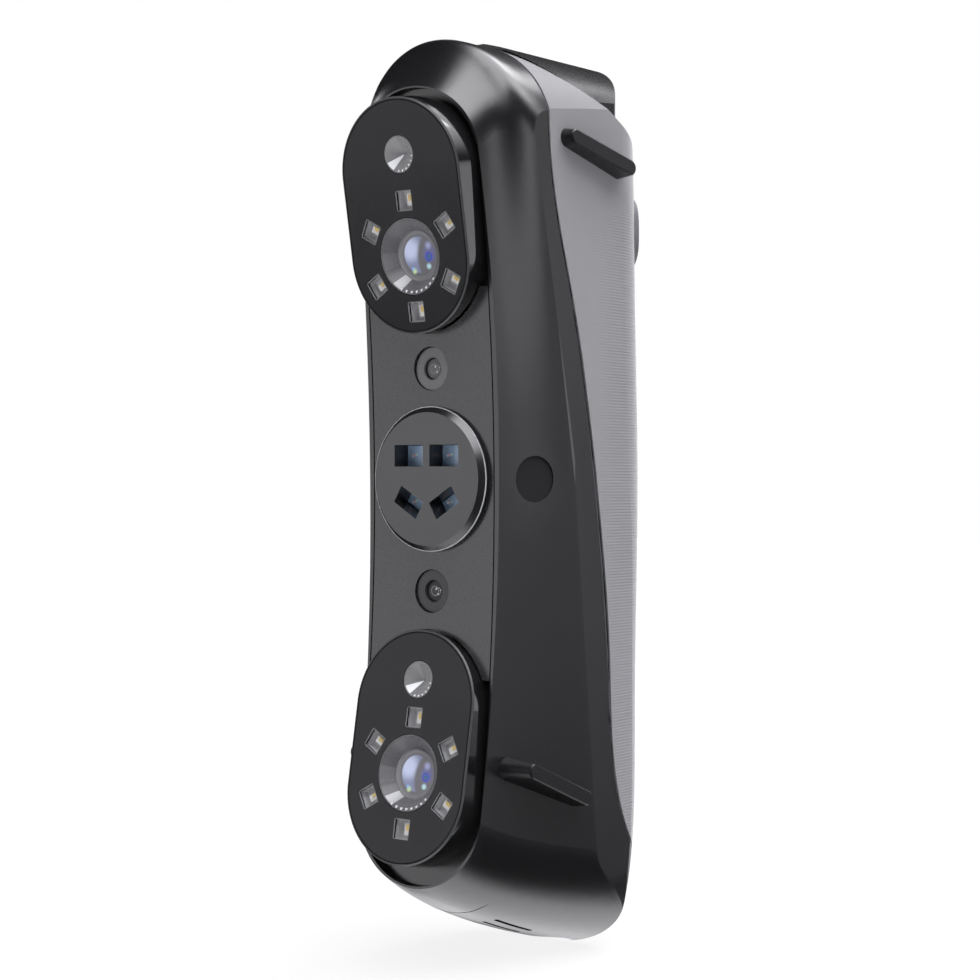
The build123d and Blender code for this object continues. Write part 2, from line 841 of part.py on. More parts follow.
def key_board_rear():
    """The key board's face on the keys' side, set by dome, travel and gap."""
    return key_inner_face() - key_travel - dome_gap - dome_height


def key_board_posts():
    for x in (-key_post_x, key_post_x):
        for z in (-key_post_z, key_post_z):
            yield x, key_panel_z + z


def key_panel():
    """A bowed pad on the sleeve with a guide collar for each key."""
    pad = grip_form(-key_panel_proud)
    pad &= prism(SlotOverall(key_panel_width, key_panel_height), 0, 2 * body_back,
                 key_panel_z)
    inner = grip_form(0)
    panel = pad - inner
    for name, x, radius in KEYS:
        collar = rod(radius + key_gap + key_collar_wall, key_collar_end(), body_back,
                     x, key_panel_z)
        panel += collar & pad
    for name, x, radius in KEYS:
        panel -= rod(radius + key_gap, 0, 2 * body_back, x, key_panel_z)
    return panel


def key(x, radius):
    """A key cap that follows the pad's bow, with a flange behind its collar."""
    cap = rod(radius, key_inner_face(), 2 * body_back, x, key_panel_z)
    cap &= grip_form(-key_panel_proud - key_proud)
    flange = rod(radius + key_flange, key_inner_face(), key_inner_face() + key_flange_wall,
                 x, key_panel_z)
    return cap + flange


def key_board():
    rear = key_board_rear()
    board = slab(key_board_half_width, rear - board_wall, rear,
                 key_panel_z - key_board_height / 2, key_panel_z + key_board_height / 2)
    board = fillet(board.edges().filter_by(Axis.Y), board_corner)
    for x, z in key_board_posts():
        board -= rod(screw_radius + screw_gap, 0, body_back, x, z)
    return board


def key_board_screws():
    seat = key_board_rear() - board_wall
    return [screw(seat, x, z, -1) for x, z in key_board_posts()]


def key_domes():
    """A snap dome on the board under each key."""
    domes = []
    for name, x, radius in KEYS:
        start = key_board_rear()
        ball_radius = (dome_radius ** 2 + dome_height ** 2) / (2 * dome_height)
        ball = Pos(x, start + dome_height - ball_radius, key_panel_z) * Sphere(ball_radius)
        domes.append(ball & rod(2 * dome_radius, start, start + dome_height, x, key_panel_z))
    return domes


# ---- cable port -------------------------------------------------------------------------------------------
def port_cup(skin):
    """The round well that takes the cable's plug."""
    floor = port_recess - body_bottom
    top = floor + port_floor_wall
    well = Pos(0, port_depth, top) * Cylinder(
        port_radius - port_gap, port_cut_height, align=(Align.CENTER, Align.CENTER, Align.MAX))
    bore = Pos(0, port_depth, floor) * Cylinder(
        port_radius - port_gap - port_wall, port_cut_height,
        align=(Align.CENTER, Align.CENTER, Align.MAX))
    return (well - bore) & skin


def port_tongue():
    """The contact blade on the well's floor."""
    floor = port_recess - body_bottom
    blade = Pos(0, port_depth, floor) * Box(
        port_tongue_width, port_tongue_wall, port_tongue_length,
        align=(Align.CENTER, Align.CENTER, Align.MAX))
    return fillet(blade.faces().sort_by(Axis.Z)[0].edges().filter_by(Axis.Y), port_tongue_edge)


# ---- side pieces ---------------------------------------------------------------------------------------------
def plug_bar(side, radius, outer, inner):
    """A round bar square to the flank, from one depth under its skin to another."""
    turn = radians(plug_turn)
    outwards = (side * cos(turn), -sin(turn), 0)
    skin = Plane(origin=(side * plug_flank_x, plug_depth, 0), x_dir=(0, 0, 1), z_dir=outwards)
    return extrude(skin.offset(-inner) * Circle(radius), inner - outer)


def side_plugs():
    """A blind plug in each flank, beside the laser head."""
    return [plug_bar(side, plug_radius, plug_recess, plug_recess + plug_wall)
            for side in (-1, 1)]


def side_ribs(ends, body):
    """A pair of soft ribs with flat tops, drafted down to the body's flanks."""
    (y1, z1), (y2, z2) = ends
    length = hypot(y2 - y1, z2 - z1)
    ribs = []
    for side in (-1, 1):
        along = (0, (y2 - y1) / length, (z2 - z1) / length)
        middle = (side * rib_plane, (y1 + y2) / 2, (z1 + z2) / 2)
        top = Plane(origin=middle, x_dir=along, z_dir=(-side, 0, 0))
        rib = extrude(top * SlotOverall(length, rib_width), rib_root, taper=-rib_draft)
        crest = rib.faces().sort_by(Axis.X)[-1 if side > 0 else 0]
        rib = chamfer(crest.edges(), rib_edge) - body
        ribs.append(rib.solids().sort_by(lambda solid: -solid.volume)[0])
    return ribs


# ---- all pieces -----------------------------------------------------------------------------------------------
def shared(solids):
    """Separate solids that share one node."""
    return Compound(children=list(solids))


outer = body_form(0.0)
cavity = body_form(shell_wall, plate_wall + bulkhead_wall)
core_front = plate_wall + bulkhead_wall
core_outer = (body_form(core_inset) & below_sleeve_edge()) + hood_form()
core_lip_form = body_form(shell_wall + core_lip_gap, core_front)
core_inner = body_form(core_inset + core_wall, core_front)
sleeve_inner = body_form(sleeve_wall)

pieces = {
    "front_shell": front_shell(outer, cavity, body_form(seam_rebate, 0)),
    "rear_core": rear_core(core_outer, core_lip_form, core_inner),
    "rear_sleeve": rear_sleeve(outer, sleeve_inner),
    "front_plate": front_plate(),
    "laser_head": laser_head(),
    "beam_panes": shared(beam_panes()),
    "laser_modules": shared(laser_modules()),
    "laser_block": laser_block(),
    "optical_bench": optical_bench(),
    "camera_ribbons": shared(camera_ribbons()),
    "bench_screws": shared(bench_screws()),
    "board_standoffs": shared(board_standoffs()),
    "main_board": main_board(),
    "board_chips": shared(board_chips()),
    "heat_sink": processor_sink(),
    "board_screws": shared(board_screws()),
    "key_panel": key_panel(),
    "key_board": key_board(),
    "key_board_screws": shared(key_board_screws()),
    "key_domes": shared(key_domes()),
    "port_cup": port_cup(outer),
    "port_tongue": port_tongue(),
    "side_plugs": shared(side_plugs()),
    "upper_ribs": shared(side_ribs(upper_rib_ends, outer)),
    "lower_ribs": shared(side_ribs(lower_rib_ends, outer)),
}

for name, x, radius in KEYS:
    pieces[name] = key(x, radius)

for pod in PODS:
    pieces[f"{pod.name}_pod_housing"] = pod_housing(pod)
    pieces[f"{pod.name}_window_plate"] = window_plate(pod)
    pieces[f"{pod.name}_led_panes"] = shared(led_panes(pod))
    pieces[f"{pod.name}_led_tray"] = led_tray(pod)
    pieces[f"{pod.name}_led_board"] = led_board(pod)
    pieces[f"{pod.name}_led_chips"] = shared(led_chips(pod))
    pieces[f"{pod.name}_lens_barrel"] = lens_barrel(pod)
    pieces[f"{pod.name}_lens_glass"] = lens_glass(pod)
    pieces[f"{pod.name}_flash_cup"] = flash_cup(pod)
    pieces[f"{pod.name}_camera_board"] = sensor_board(pod)
    pieces[f"{pod.name}_camera_mount"] = sensor_mount(pod)

for name, z in (("upper", upper_sensor_z), ("lower", lower_sensor_z)):
    pieces[f"{name}_sensor_ring"] = front_sensor(z)
    pieces[f"{name}_sensor_lens"] = sensor_lens(z)

front_depth = PODS[0].below(0, pod_length / 2)[0]
middle_depth = round((front_depth + body_back) / 2, 1)
middle_height = round((body_top - body_bottom) / 2, 1)
to_middle = Pos(0, -middle_depth, -middle_height)

os.makedirs("parts", exist_ok=True)
for name, piece in pieces.items():
    export_step(to_middle * piece, f"parts/{name}.step")
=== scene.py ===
import json
import math

import bmesh
import bpy
from mathutils import Matrix, Vector
from mathutils.bvhtree import BVHTree


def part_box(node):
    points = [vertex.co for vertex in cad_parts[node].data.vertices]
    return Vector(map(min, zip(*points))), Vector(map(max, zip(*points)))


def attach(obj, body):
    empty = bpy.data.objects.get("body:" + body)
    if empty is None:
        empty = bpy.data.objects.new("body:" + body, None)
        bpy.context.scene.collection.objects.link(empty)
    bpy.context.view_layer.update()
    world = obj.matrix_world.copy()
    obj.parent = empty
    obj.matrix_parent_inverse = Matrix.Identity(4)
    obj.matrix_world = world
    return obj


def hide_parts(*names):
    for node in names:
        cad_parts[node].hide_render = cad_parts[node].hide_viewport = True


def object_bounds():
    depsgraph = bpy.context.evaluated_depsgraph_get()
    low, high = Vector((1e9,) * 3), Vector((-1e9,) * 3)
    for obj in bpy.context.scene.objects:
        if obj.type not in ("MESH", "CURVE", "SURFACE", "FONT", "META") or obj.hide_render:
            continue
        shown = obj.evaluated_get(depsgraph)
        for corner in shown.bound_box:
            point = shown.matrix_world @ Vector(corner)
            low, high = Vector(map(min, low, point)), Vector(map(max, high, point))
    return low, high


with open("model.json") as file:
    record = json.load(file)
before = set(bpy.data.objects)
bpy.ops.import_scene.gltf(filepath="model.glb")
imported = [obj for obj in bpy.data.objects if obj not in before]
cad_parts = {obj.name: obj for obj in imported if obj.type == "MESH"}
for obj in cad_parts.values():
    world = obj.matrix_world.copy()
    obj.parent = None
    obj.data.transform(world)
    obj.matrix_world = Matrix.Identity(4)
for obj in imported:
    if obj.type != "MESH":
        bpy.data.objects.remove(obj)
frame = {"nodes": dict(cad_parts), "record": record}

cad_box = [list(corner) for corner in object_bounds()]
nodes = frame["nodes"]
ROOT = "scanner"

# ---- the part's own values, in millimetres, with y = 0 on the front plate and z = 0 on the laser head --
MIDDLE_DEPTH = 23.3
MIDDLE_HEIGHT = -5.9
HEAD = Vector((0.0, -MIDDLE_DEPTH, -MIDDLE_HEIGHT)) / 1000


def at(x, y, z):
    """A place given in the part's own values, in metres in the row frame."""
    return Vector((x, y - MIDDLE_DEPTH, z - MIDDLE_HEIGHT)) / 1000


# ---- camera, fitted to the photograph: to the right of the lenses and level with the laser head ---------
AZIMUTH = math.radians(40.0)
DISTANCE = 0.4855
camera_data = bpy.data.cameras.new("camera")
camera_data.sensor_width = 36.0
camera_data.lens = 77.14
camera_data.shift_x = 0.0582
camera_data.shift_y = -0.0112
camera_data.clip_start = 0.01
camera = bpy.data.objects.new("camera", camera_data)
bpy.context.scene.collection.objects.link(camera)
back = Vector((math.sin(AZIMUTH), -math.cos(AZIMUTH), 0.0))
camera.location = HEAD + DISTANCE * back
camera.rotation_euler = back.to_track_quat("Z", "Y").to_euler()
bpy.context.scene.camera = camera
bpy.context.scene.view_settings.view_transform = "Standard"


# ---- materials -----------------------------------------------------------------------------------------
def shader(name):
    """A new material with its tree and its main shader."""
    material = bpy.data.materials.new(name)
    material.use_nodes = True
    tree = material.node_tree
    return material, tree, tree.nodes["Principled BSDF"]


def add(tree, kind, **values):
    """A new node; what starts with in_ sets one of its inputs, and the rest its own values."""
    node = tree.nodes.new(kind)
    for key, value in values.items():
        if key.startswith("in_"):
            node.inputs[key[3:].replace("_", " ")].default_value = value
        else:
            setattr(node, key, value)
    return node


# Noise nodes give mostly 0.3 to 0.7, so that stretch is spread over the ranges below.
NOISE_LOW = 0.3
NOISE_HIGH = 0.7
BROAD_SCALE = 28.0
EDGE_START = 0.52       # of the pointiness, where worn edges begin
EDGE_FULL = 0.62
EDGE_GAIN = 1.8
EDGE_LIFT = 0.02
STREAK_SCALE = (900.0, 900.0, 40.0)
KNURL_PITCH = 0.0007
KNURL_DEPTH = 0.00006
KNURL_DOTS_END = 0.006
KNURL_LINES_START = 0.018
KNURL_FADE_TOP = 0.082
KNURL_FADE_FULL = 0.066


def ramp(tree, value, start, end, low=0.0, high=1.0, smooth=False):
    """Runs from low to high while a value runs from start to end."""
    run = add(tree, "ShaderNodeMapRange", in_From_Min=start, in_From_Max=end, in_To_Min=low, in_To_Max=high)
    if smooth:
        run.interpolation_type = "SMOOTHSTEP"
    tree.links.new(value, run.inputs["Value"])
    return run.outputs["Result"]


def times(tree, first, second):
    """The product of an output and another output or number."""
    product = add(tree, "ShaderNodeMath", operation="MULTIPLY")
    tree.links.new(first, product.inputs[0])
    if isinstance(second, float):
        product.inputs[1].default_value = second
    else:
        tree.links.new(second, product.inputs[1])
    return product.outputs["Value"]


def noise_at(tree, place, scale, detail):
    """Noise over places in space."""
    noise = add(tree, "ShaderNodeTexNoise", in_Scale=scale, in_Detail=detail)
    tree.links.new(place, noise.inputs["Vector"])
    return noise.outputs["Fac"]


def from_noise(tree, noise, low, high):
    """Noise, spread over a range."""
    return ramp(tree, noise, NOISE_LOW, NOISE_HIGH, low, high)


def tinted(tree, colour, strength):
    """A colour times a strength."""
    tint = add(tree, "ShaderNodeVectorMath", operation="SCALE")
    tint.inputs[0].default_value = colour
    tree.links.new(strength, tint.inputs["Scale"])
    return tint.outputs["Vector"]


def bumped(tree, main, height, strength, depth):
    """Bends a shader's normal by a height; the depth is in metres."""
    bump = add(tree, "ShaderNodeBump", in_Strength=strength, in_Distance=depth)
    tree.links.new(height, bump.inputs["Height"])
    tree.links.new(bump.outputs["Normal"], main.inputs["Normal"])


def finish(name, colour, roughness, metallic=0.0, grain=0.0004, grain_depth=0.00001, spread=0.12,
           rough_spread=0.06, coat=0.0, coat_roughness=0.1, specular=0.5, edge=0.25):
    """Moulded or painted surface: fine grain, uneven tone and gloss, and lighter worn edges."""
    material, tree, main = shader(name)
    link = tree.links.new
    place = add(tree, "ShaderNodeTexCoord").outputs["Object"]
    fine = noise_at(tree, place, 1 / grain, 3.0)
    broad = noise_at(tree, place, BROAD_SCALE, 4.0)
    pointiness = add(tree, "ShaderNodeNewGeometry").outputs["Pointiness"]
    worn = add(tree, "ShaderNodeMix", data_type="RGBA")
    link(ramp(tree, pointiness, EDGE_START, EDGE_FULL, 0.0, edge), worn.inputs["Factor"])
    link(tinted(tree, colour, from_noise(tree, broad, 1 - spread, 1 + spread)), worn.inputs["A"])
    worn.inputs["B"].default_value = [min(1.0, part * EDGE_GAIN + EDGE_LIFT) for part in colour] + [1.0]
    link(worn.outputs["Result"], main.inputs["Base Color"])
    gloss = from_noise(tree, fine, roughness - rough_spread, roughness + rough_spread)
    link(gloss, main.inputs["Roughness"])
    bumped(tree, main, fine, 0.5, grain_depth)
    main.inputs["Metallic"].default_value = metallic
    main.inputs["Coat Weight"].default_value = coat
    main.inputs["Coat Roughness"].default_value = coat_roughness
    main.inputs["Specular IOR Level"].default_value = specular
    return material


def brushed(name, colour, roughness):
    """Turned or brushed metal, with streaks along one way."""
    material, tree, main = shader(name)
    link = tree.links.new
    scale = add(tree, "ShaderNodeVectorMath", operation="MULTIPLY")
    scale.inputs[1].default_value = STREAK_SCALE
    link(add(tree, "ShaderNodeTexCoord").outputs["Object"], scale.inputs[0])
    streaks = noise_at(tree, scale.outputs["Vector"], 6.0, 3.0)
    link(from_noise(tree, streaks, roughness - 0.1, roughness + 0.1), main.inputs["Roughness"])
    link(tinted(tree, colour, from_noise(tree, streaks, 0.85, 1.1)), main.inputs["Base Color"])
    bumped(tree, main, streaks, 0.2, 0.00001)
    main.inputs["Metallic"].default_value = 1.0
    return material


def knurled(name, colour, roughness):
    """Soft-touch sleeve: fine dots that run into level lines round the back and fade out at the top."""
    material, tree, main = shader(name)
    link = tree.links.new
    place = add(tree, "ShaderNodeTexCoord").outputs["Object"]
    parts = add(tree, "ShaderNodeSeparateXYZ")
    link(place, parts.inputs["Vector"])
    waves = {}
    for axis in ("Y", "Z"):
        wave = add(tree, "ShaderNodeMath", operation="SINE")
        link(times(tree, parts.outputs[axis], 2 * math.pi / KNURL_PITCH), wave.inputs[0])
        waves[axis] = wave.outputs["Value"]
    across = add(tree, "ShaderNodeMix", data_type="FLOAT")
    link(ramp(tree, parts.outputs["Y"], KNURL_DOTS_END, KNURL_LINES_START), across.inputs["Factor"])
    link(waves["Y"], across.inputs["A"])
    across.inputs["B"].default_value = 1.0
    dots = times(tree, across.outputs["Result"], waves["Z"])
    fade = ramp(tree, parts.outputs["Z"], KNURL_FADE_TOP, KNURL_FADE_FULL)
    bumped(tree, main, times(tree, dots, fade), 0.6, KNURL_DEPTH)
    tone = from_noise(tree, noise_at(tree, place, 18.0, 4.0), 0.94, 1.04)
    link(tinted(tree, colour, tone), main.inputs["Base Color"])
    main.inputs["Roughness"].default_value = roughness
    main.inputs["Sheen Weight"].default_value = 0.55
    main.inputs["Sheen Roughness"].default_value = 0.35
    return material


def glass(name, colour, alpha, roughness=0.03, coat=1.0):
    """A coated pane or lens that lets part of what is behind it show."""
    material, tree, main = shader(name)
    noise = noise_at(tree, add(tree, "ShaderNodeTexCoord").outputs["Object"], 160.0, 2.0)
    tree.links.new(from_noise(tree, noise, roughness, roughness + 0.02), main.inputs["Roughness"])
    main.inputs["Base Color"].default_value = (*colour, 1.0)
    main.inputs["Alpha"].default_value = alpha
    main.inputs["Coat Weight"].default_value = coat
    main.inputs["Coat Roughness"].default_value = 0.02
    return material


LOOKS = {
    "shell_black": finish("shell_black", (0.008, 0.008, 0.009), 0.24, specular=0.9, spread=0.05,
                          rough_spread=0.02, grain_depth=0.0000012),
    "core_black": finish("core_black", (0.008, 0.008, 0.009), 0.26, specular=0.52, spread=0.05,
                         rough_spread=0.02, grain_depth=0.0000012),
    "sleeve_grey": knurled("sleeve_grey", (0.262, 0.259, 0.272), 0.5),
    "plate_black": finish("plate_black", (0.010, 0.010, 0.011), 0.26, specular=0.9, spread=0.05,
                          rough_spread=0.02, grain_depth=0.0000012),
    "head_grey": finish("head_grey", (0.010, 0.010, 0.011), 0.24, specular=0.95, spread=0.05,
                        rough_spread=0.02, grain_depth=0.0000012),
    "filter_glass": glass("filter_glass", (0.36, 0.50, 0.70), 0.97, 0.2, coat=0.3),
    "bright_metal": brushed("bright_metal", (0.75, 0.76, 0.78), 0.3),
    "cast_metal": finish("cast_metal", (0.6, 0.61, 0.63), 0.5, metallic=1.0, grain=0.0008,
                         grain_depth=0.00005),
    "ribbon": finish("ribbon", (0.62, 0.30, 0.05), 0.35),
    "steel": brushed("steel", (0.6, 0.6, 0.62), 0.3),
    "brass": brushed("brass", (0.75, 0.55, 0.22), 0.28),
    "board_green": finish("board_green", (0.02, 0.12, 0.06), 0.35, coat=0.4),
    "chip_black": finish("chip_black", (0.02, 0.02, 0.02), 0.5),
    "sink_black": finish("sink_black", (0.05, 0.05, 0.055), 0.45, metallic=0.8),
    "panel_grey": finish("panel_grey", (0.13, 0.13, 0.14), 0.42),
    "key_dark": finish("key_dark", (0.03, 0.03, 0.032), 0.55),
    "port_metal": brushed("port_metal", (0.42, 0.42, 0.44), 0.32),
    "tongue_black": finish("tongue_black", (0.02, 0.02, 0.02), 0.5),
    "plug_dark": finish("plug_dark", (0.010, 0.010, 0.011), 0.5, specular=0.2),
    "rib_rubber": finish("rib_rubber", (0.008, 0.008, 0.009), 0.32, specular=0.3, grain_depth=0.0000006,
                         spread=0.04, edge=0.15),
    "pod_gloss": finish("pod_gloss", (0.004, 0.004, 0.0045), 0.09, rough_spread=0.02,
                        grain=0.002, grain_depth=0.000002, coat=0.6, coat_roughness=0.03),
    "window_black": finish("window_black", (0.006, 0.006, 0.007), 0.2, rough_spread=0.02, specular=0.27,
                           spread=0.05, grain_depth=0.000001),
    "pane_clear": glass("pane_clear", (0.10, 0.10, 0.11), 0.1, 0.05, coat=0.3),
    "tray_grey": finish("tray_grey", (0.10, 0.10, 0.105), 0.5),
    "chip_white": finish("chip_white", (0.95, 0.94, 0.92), 0.3, spread=0.04),
    "barrel_grey": finish("barrel_grey", (0.055, 0.055, 0.058), 0.3, specular=0.6),
    "lens_glass": glass("lens_glass", (0.10, 0.12, 0.42), 0.55, 0.02),
    "mirror_cup": finish("mirror_cup", (0.16, 0.16, 0.165), 0.3, specular=0.6),
    "mount_black": finish("mount_black", (0.03, 0.03, 0.03), 0.5),
    "ring_grey": finish("ring_grey", (0.135, 0.134, 0.14), 0.42, specular=0.3, spread=0.04),
    "cell_grey": finish("cell_grey", (0.62, 0.62, 0.64), 0.5, specular=0.3, spread=0.05),
    "phosphor": finish("phosphor", (0.95, 0.62, 0.18), 0.4),
    # pale look with a painted highlight, for thin edges of the light windows and the sensors' rings and
    # marks
    "edge_highlight": finish("edge_highlight", (0.20, 0.20, 0.205), 0.3),
    # painted highlight and fainter painted highlight on facets of the lens cones
    "facet_highlight": finish("facet_highlight", (0.46, 0.46, 0.48), 0.2),
    "facet_faint_highlight": finish("facet_faint_highlight", (0.165, 0.164, 0.17), 0.25),
    "cone_clear": finish("cone_clear", (0.125, 0.124, 0.13), 0.3, specular=0.4, spread=0.08),
    "cup_clear": finish("cup_clear", (0.20, 0.20, 0.205), 0.25, specular=0.4, spread=0.08),
    "ring_dark": finish("ring_dark", (0.050, 0.050, 0.053), 0.42, specular=0.3, spread=0.04),
    # painted glints, on serrations, on the cup's facet, on the sensors and on the filter panes
    "glint_white": finish("glint_white", (0.86, 0.86, 0.90), 0.2),
    "gasket_black": finish("gasket_black", (0.003, 0.003, 0.003), 0.8, specular=0.1),
    # painted highlight, round the laser head's rim
    "rim_highlight": finish("rim_highlight", (0.42, 0.42, 0.44), 0.2),
    # painted highlight, on the pods' chamfers and along the shell's seam
    "bevel_highlight": finish("bevel_highlight", (0.045, 0.045, 0.048), 0.35),
    # painted glints in colour, on the filter panes
    "glint_pink": finish("glint_pink", (0.86, 0.48, 0.56), 0.2),
    "glint_green": finish("glint_green", (0.46, 0.80, 0.66), 0.2),
}
# nodes whose finish differs from the rest of their slot
NODE_LOOKS = {
    "upper_led_board": "cell_grey",
    "lower_led_board": "cell_grey",
    "upper_led_tray": "cell_grey",
    "lower_led_tray": "cell_grey",
    "lower_sensor_ring": "ring_dark",
}

slots = {entry["node"]: entry["material_slot"] for entry in frame["record"]["subparts"]}
for name, node in nodes.items():
    look = LOOKS[NODE_LOOKS.get(name, slots[name])]
    if not node.data.materials:
        node.data.materials.append(look)
    for index in range(len(node.material_slots)):
        node.material_slots[index].material = look


# ---- floor, world and lamp -----------------------------------------------------------------------------
def seen_straight(tree, path):
    """1 for the camera's own rays, also behind glass, and 0 for the rest."""
    seen = add(tree, "ShaderNodeMath", operation="MAXIMUM")
    tree.links.new(path.outputs["Is Camera Ray"], seen.inputs[0])
    tree.links.new(path.outputs["Is Transmission Ray"], seen.inputs[1])
    return seen.outputs["Value"]


def mixed(tree, share, first, second):
    """Two shaders, the second one by a share."""
    mix = add(tree, "ShaderNodeMixShader")
    tree.links.new(share, mix.inputs["Fac"])
    tree.links.new(first, mix.inputs[1])
    tree.links.new(second, mix.inputs[2])
    return mix.outputs["Shader"]


def pale_floor():
    """White to the camera, with the object's soft shadow, grey to matt surfaces, clear to reflections."""
    material, tree, main = shader("floor")
    link = tree.links.new
    main.inputs["Base Color"].default_value = (0.8, 0.8, 0.8, 1.0)
    main.inputs["Roughness"].default_value = 0.9
    glow = add(tree, "ShaderNodeEmission", in_Strength=0.86)
    shadowed = add(tree, "ShaderNodeBsdfDiffuse")
    shadowed.inputs["Color"].default_value = (0.16, 0.16, 0.16, 1.0)
    white_floor = add(tree, "ShaderNodeAddShader")
    link(glow.outputs["Emission"], white_floor.inputs[0])
    link(shadowed.outputs["BSDF"], white_floor.inputs[1])
    clear = add(tree, "ShaderNodeBsdfTransparent")
    path = add(tree, "ShaderNodeLightPath")
    seen = mixed(tree, seen_straight(tree, path), main.outputs["BSDF"], white_floor.outputs["Shader"])
    through = mixed(tree, path.outputs["Is Glossy Ray"], seen, clear.outputs["BSDF"])
    link(through, tree.nodes["Material Output"].inputs["Surface"])
    return material


FLOOR_GAP = 0.0003
FLOOR_REACH = 3.0
floor_height = cad_box[0][2] - FLOOR_GAP
floor_mesh = bpy.data.meshes.new("floor")
floor_mesh.from_pydata([(x * FLOOR_REACH, y * FLOOR_REACH, floor_height)
                        for x, y in ((-1, -1), (1, -1), (1, 1), (-1, 1))], [], [(0, 1, 2, 3)])
floor_mesh.materials.append(pale_floor())
floor = bpy.data.objects.new("floor", floor_mesh)
bpy.context.scene.collection.objects.link(floor)

# Dim air with soft boxes round the object, and white only behind it. Each soft box: azimuth and
# elevation of its middle, half width and height, softness, all in degrees, and its strength.
# Azimuth 0 is straight in front of the lenses, 90 is to +X.
SOFT_BOXES = (
    (90.0, 71.0, 42.0, 25.0, 8.0, 5.2),
    (172.0, 47.0, 9.0, 10.0, 2.0, 4.0),
    (270.0, -79.0, 55.0, 26.0, 10.0, 1.8),
    (322.0, 5.0, 15.0, 15.0, 6.0, 1.32),
    (229.0, 0.0, 6.0, 45.0, 3.0, 1.2),
    (108.0, 0.0, 46.0, 10.0, 7.0, 0.42),
    (91.0, 3.0, 13.0, 9.0, 9.0, 1.15),
    (141.0, 4.0, 7.0, 9.0, 2.0, 1.0),
    (186.0, 0.0, 14.0, 12.0, 6.0, 1.7),
)
AIR = 0.022
DIFFUSE_SHARE = 0.5     # of air and soft boxes, on matt surfaces

world = bpy.data.worlds.new("world")
bpy.context.scene.world = world
world.use_nodes = True
tree = world.node_tree
link = tree.links.new
ray = add(tree, "ShaderNodeTexCoord").outputs["Generated"]


def along(vector):
    """How far the ray's direction goes along a vector."""
    dot = add(tree, "ShaderNodeVectorMath", operation="DOT_PRODUCT")
    link(ray, dot.inputs[0])
    dot.inputs[1].default_value = vector
    return dot.outputs["Value"]


def edge_of(value, half, soft):
    """1 inside a half width, falling to 0 over a soft edge."""
    size = add(tree, "ShaderNodeMath", operation="ABSOLUTE")
    link(value, size.inputs[0])
    start = math.sin(math.radians(max(half - soft, 0.0)))
    end = math.sin(math.radians(min(half + soft, 90.0)))
    return ramp(tree, size.outputs["Value"], start, end, 1.0, 0.0, smooth=True)


def soft_box(azimuth, elevation, half_width, half_height, soft, strength):
    """A soft box's light in the ray's direction."""
    turn, lift = math.radians(azimuth), math.radians(elevation)
    middle = Vector((math.sin(turn) * math.cos(lift), -math.cos(turn) * math.cos(lift), math.sin(lift)))
    side = Vector((math.cos(turn), math.sin(turn), 0.0))
    facing = add(tree, "ShaderNodeMath", operation="GREATER_THAN")
    link(along(middle), facing.inputs[0])
    facing.inputs[1].default_value = 0.0
    wide = edge_of(along(side), half_width, soft)
    high = edge_of(along(middle.cross(side)), half_height, soft)
    patch = times(tree, times(tree, wide, high), facing.outputs["Value"])
    return times(tree, patch, strength)


air = add(tree, "ShaderNodeValue").outputs["Value"]
air.default_value = AIR
for values in SOFT_BOXES:
    plus = add(tree, "ShaderNodeMath", operation="ADD")
    link(air, plus.inputs[0])
    link(soft_box(*values), plus.inputs[1])
    air = plus.outputs["Value"]

path = add(tree, "ShaderNodeLightPath")
share = ramp(tree, path.outputs["Is Diffuse Ray"], 0.0, 1.0, 1.0, DIFFUSE_SHARE)
shade = tree.nodes["Background"]
shade.inputs["Color"].default_value = (0.97, 0.97, 1.0, 1.0)
link(times(tree, air, share), shade.inputs["Strength"])
white = add(tree, "ShaderNodeBackground", in_Strength=1.0)
white.inputs["Color"].default_value = (1.0, 1.0, 1.0, 1.0)
backdrop = mixed(tree, seen_straight(tree, path), shade.outputs["Background"], white.outputs["Background"])
link(backdrop, tree.nodes["World Output"].inputs["Surface"])

# One soft lamp from the front left, unseen in reflections; its place is in metres from the laser head.
LAMP_PLACE = Vector((-0.35, -0.6, 0.05))
lamp_data = bpy.data.lights.new("front", "AREA")
lamp_data.energy = 0.8
lamp_data.shape = "RECTANGLE"
lamp_data.size = 0.3
lamp_data.size_y = 0.4
lamp = bpy.data.objects.new("front", lamp_data)
bpy.context.scene.collection.objects.link(lamp)
lamp.location = HEAD + LAMP_PLACE
lamp.rotation_euler = LAMP_PLACE.to_track_quat("Z", "Y").to_euler()
lamp.visible_glossy = False

# ---- building blocks for detail pieces; their meshes are in millimetres --------------------------------
ORIGIN = Matrix.Translation(at(0, 0, 0))
DOME_RINGS = 8


def piece_of(name, mesh, looks, place, smooth=False):
    """A finished object at a place, riding on the scanner, with materials by name."""
    bmesh.ops.recalc_face_normals(mesh, faces=mesh.faces)
    bmesh.ops.scale(mesh, vec=(0.001, 0.001, 0.001), verts=mesh.verts)
    data = bpy.data.meshes.new(name)
    mesh.to_mesh(data)
    mesh.free()
    for look in looks:
        data.materials.append(LOOKS[look])
    for face in data.polygons:
        face.use_smooth = smooth
    piece = bpy.data.objects.new(name, data)
    bpy.context.scene.collection.objects.link(piece)
    piece.matrix_world = place
    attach(piece, ROOT)
    return piece


def join(mesh, here, there, look=0):
    """Faces between two rows of points, each row closed on itself."""
    for index in range(len(here)):
        after = (index + 1) % len(here)
        mesh.faces.new((here[index], there[index], there[after], here[after])).material_index = look


def join_round(mesh, rows, look_at):
    """Joins rows into a ring, with a look for each angle."""
    for step, row in enumerate(rows):
        look = look_at(360.0 * (step + 0.5) / len(rows))
        join(mesh, row, rows[(step + 1) % len(rows)], look)


